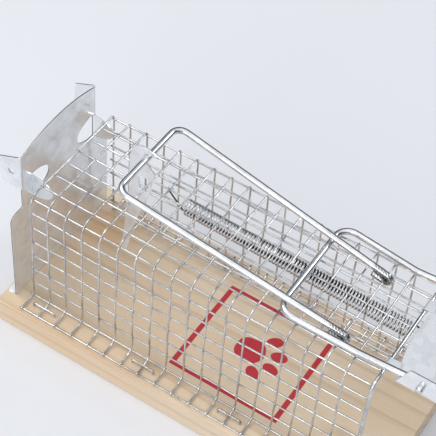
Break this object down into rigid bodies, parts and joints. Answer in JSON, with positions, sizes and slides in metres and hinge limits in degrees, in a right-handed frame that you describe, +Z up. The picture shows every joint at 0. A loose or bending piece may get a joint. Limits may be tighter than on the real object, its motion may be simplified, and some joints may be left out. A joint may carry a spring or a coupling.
{
  "type": "live catch trap",
  "caption": "Welded wire cage trap on a wood board with a sprung drop door, two latch bails and a tipping trigger.",
  "frame": {"origin": "centre of the board's underside", "axes": "+X along the board towards the doorway, +Y across the cage, +Z up"},
  "size_m": [0.35, 0.12, 0.1497],
  "materials": {
    "board": "sawn pine",
    "mesh_wire": "galvanised",
    "bright_wire": "bright galvanised",
    "spring_wire": "drawn spring wire",
    "sheet": "galvanised, spangled"
  },
  "bodies": {
    "base": {"base_board": "board", "mesh_near_flange": "mesh_wire", "mesh_near_side": "mesh_wire", "mesh_near_bend": "mesh_wire", "mesh_top": "mesh_wire", "mesh_far_bend": "mesh_wire", "mesh_far_side": "mesh_wire", "mesh_far_flange": "mesh_wire", "end_hoop": "bright_wire", "near_staples": "bright_wire", "far_staples": "bright_wire", "rear_plate": "sheet", "rear_foot_nails": "bright_wire", "spring_coil": "spring_wire", "spring_anchor_hook": "spring_wire", "spring_door_hook": "spring_wire"},
    "door": {"door_sheet": "sheet", "door_spring_lug": "sheet", "door_bail": "bright_wire"},
    "hold_down": {"hold_down_bail": "bright_wire"},
    "trigger": {"trigger_plate": "sheet"}
  },
  "joints": [
    {"name": "door_hinge", "type": "hinge", "parent": "base", "child": "door", "pos_m": [0.1158, 0, 0.1115], "axis": [0, 1, 0], "range_deg": [0, 89], "deforming": ["spring_coil", "spring_door_hook"]},
    {"name": "hold_down_hinge", "type": "hinge", "parent": "base", "child": "hold_down", "pos_m": [0.0862, 0, 0.1125], "axis": [0, 1, 0], "range_deg": [0, 142]},
    {"name": "trigger_pivot", "type": "hinge", "parent": "base", "child": "trigger", "pos_m": [-0.0662, 0, 0.1125], "axis": [0, -1, 0], "range_deg": [0, 18]}
  ],
  "couplings": [
    {"joint": "hold_down_hinge", "follows": "door_hinge", "ratio": 1.59}
  ]
}
